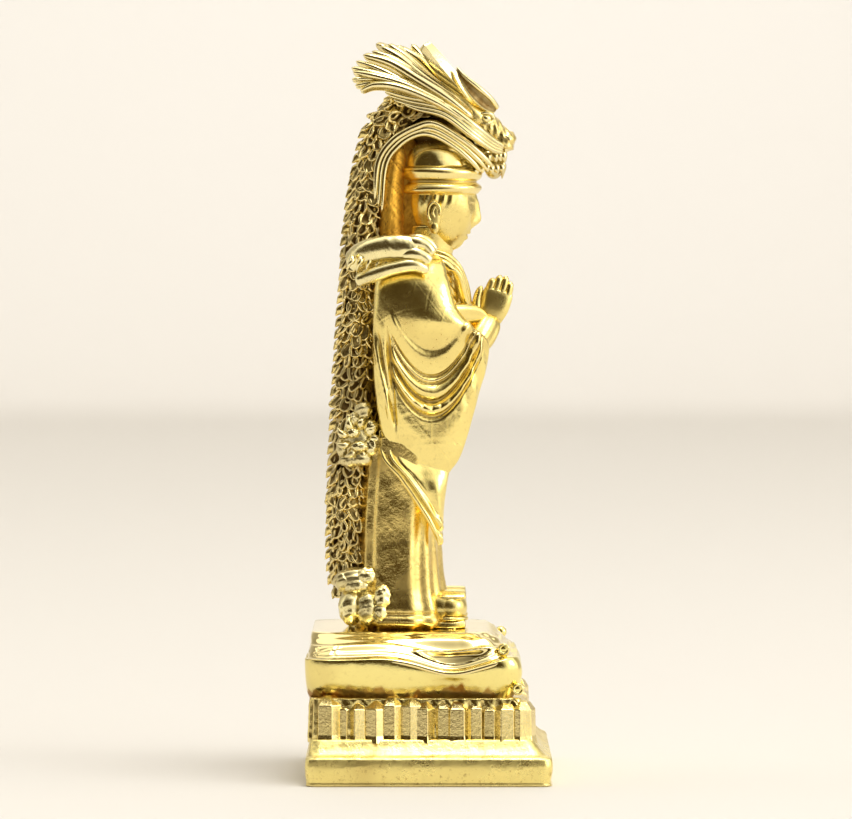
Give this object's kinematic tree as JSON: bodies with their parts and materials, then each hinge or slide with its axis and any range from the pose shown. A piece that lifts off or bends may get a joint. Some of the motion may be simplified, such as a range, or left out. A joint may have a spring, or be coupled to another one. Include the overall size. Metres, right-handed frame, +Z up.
{
  "type": "statue",
  "caption": "Small gilt brass statue of a robed praying figure with a maned dragon climbing its back, on a stepped rock and cloud pedestal.",
  "frame": {"origin": "centre of the slab's underside", "axes": "+Z up, the figure faces -Y, its right hand is on the -X side"},
  "size_m": [0.024, 0.0202, 0.0606],
  "materials": {
    "brass": "polished",
    "steel": "plain"
  },
  "bodies": {
    "root": {"base_slab": "brass", "cap_band": "brass", "cap_dome": "brass", "cloud_body": "brass", "cloud_scrolls": "brass", "cloud_top": "brass", "collar": "brass", "dorsal_crest": "brass", "dragon_beard": "brass", "dragon_body": "brass", "dragon_crest_mane": "brass", "dragon_eyes": "brass", "dragon_jaw": "brass", "dragon_neck": "brass", "dragon_nostrils": "brass", "dragon_skull": "brass", "dragon_snout": "brass", "dragon_tail": "brass", "dragon_whiskers": "brass", "ears": "brass", "fixing_screw": "steel", "head": "brass", "left_cuff": "brass", "left_dragon_brow_crest": "brass", "left_dragon_foreclaw": "brass", "left_dragon_foreleg": "brass", "left_dragon_hind_foot": "brass", "left_dragon_hip_flame": "brass", "left_dragon_horn": "brass", "left_dragon_jaw_lock": "brass", "left_dragon_lower_mane": "brass", "left_dragon_upper_mane": "brass", "left_hand": "brass", "left_hanging_sleeve": "brass", "left_robe_tail": "brass", "left_upper_sleeve": "brass", "lower_robe": "brass", "nape_hood": "brass", "neck": "brass", "right_cuff": "brass", "right_dragon_brow_crest": "brass", "right_dragon_foreclaw": "brass", "right_dragon_foreleg": "brass", "right_dragon_hind_foot": "brass", "right_dragon_hip_flame": "brass", "right_dragon_horn": "brass", "right_dragon_jaw_lock": "brass", "right_dragon_lower_mane": "brass", "right_dragon_upper_mane": "brass", "right_hand": "brass", "right_hanging_sleeve": "brass", "right_robe_tail": "brass", "right_upper_sleeve": "brass", "rock_columns": "brass", "rock_core": "brass", "shoes": "brass", "torso": "brass"}
  },
  "joints": []
}
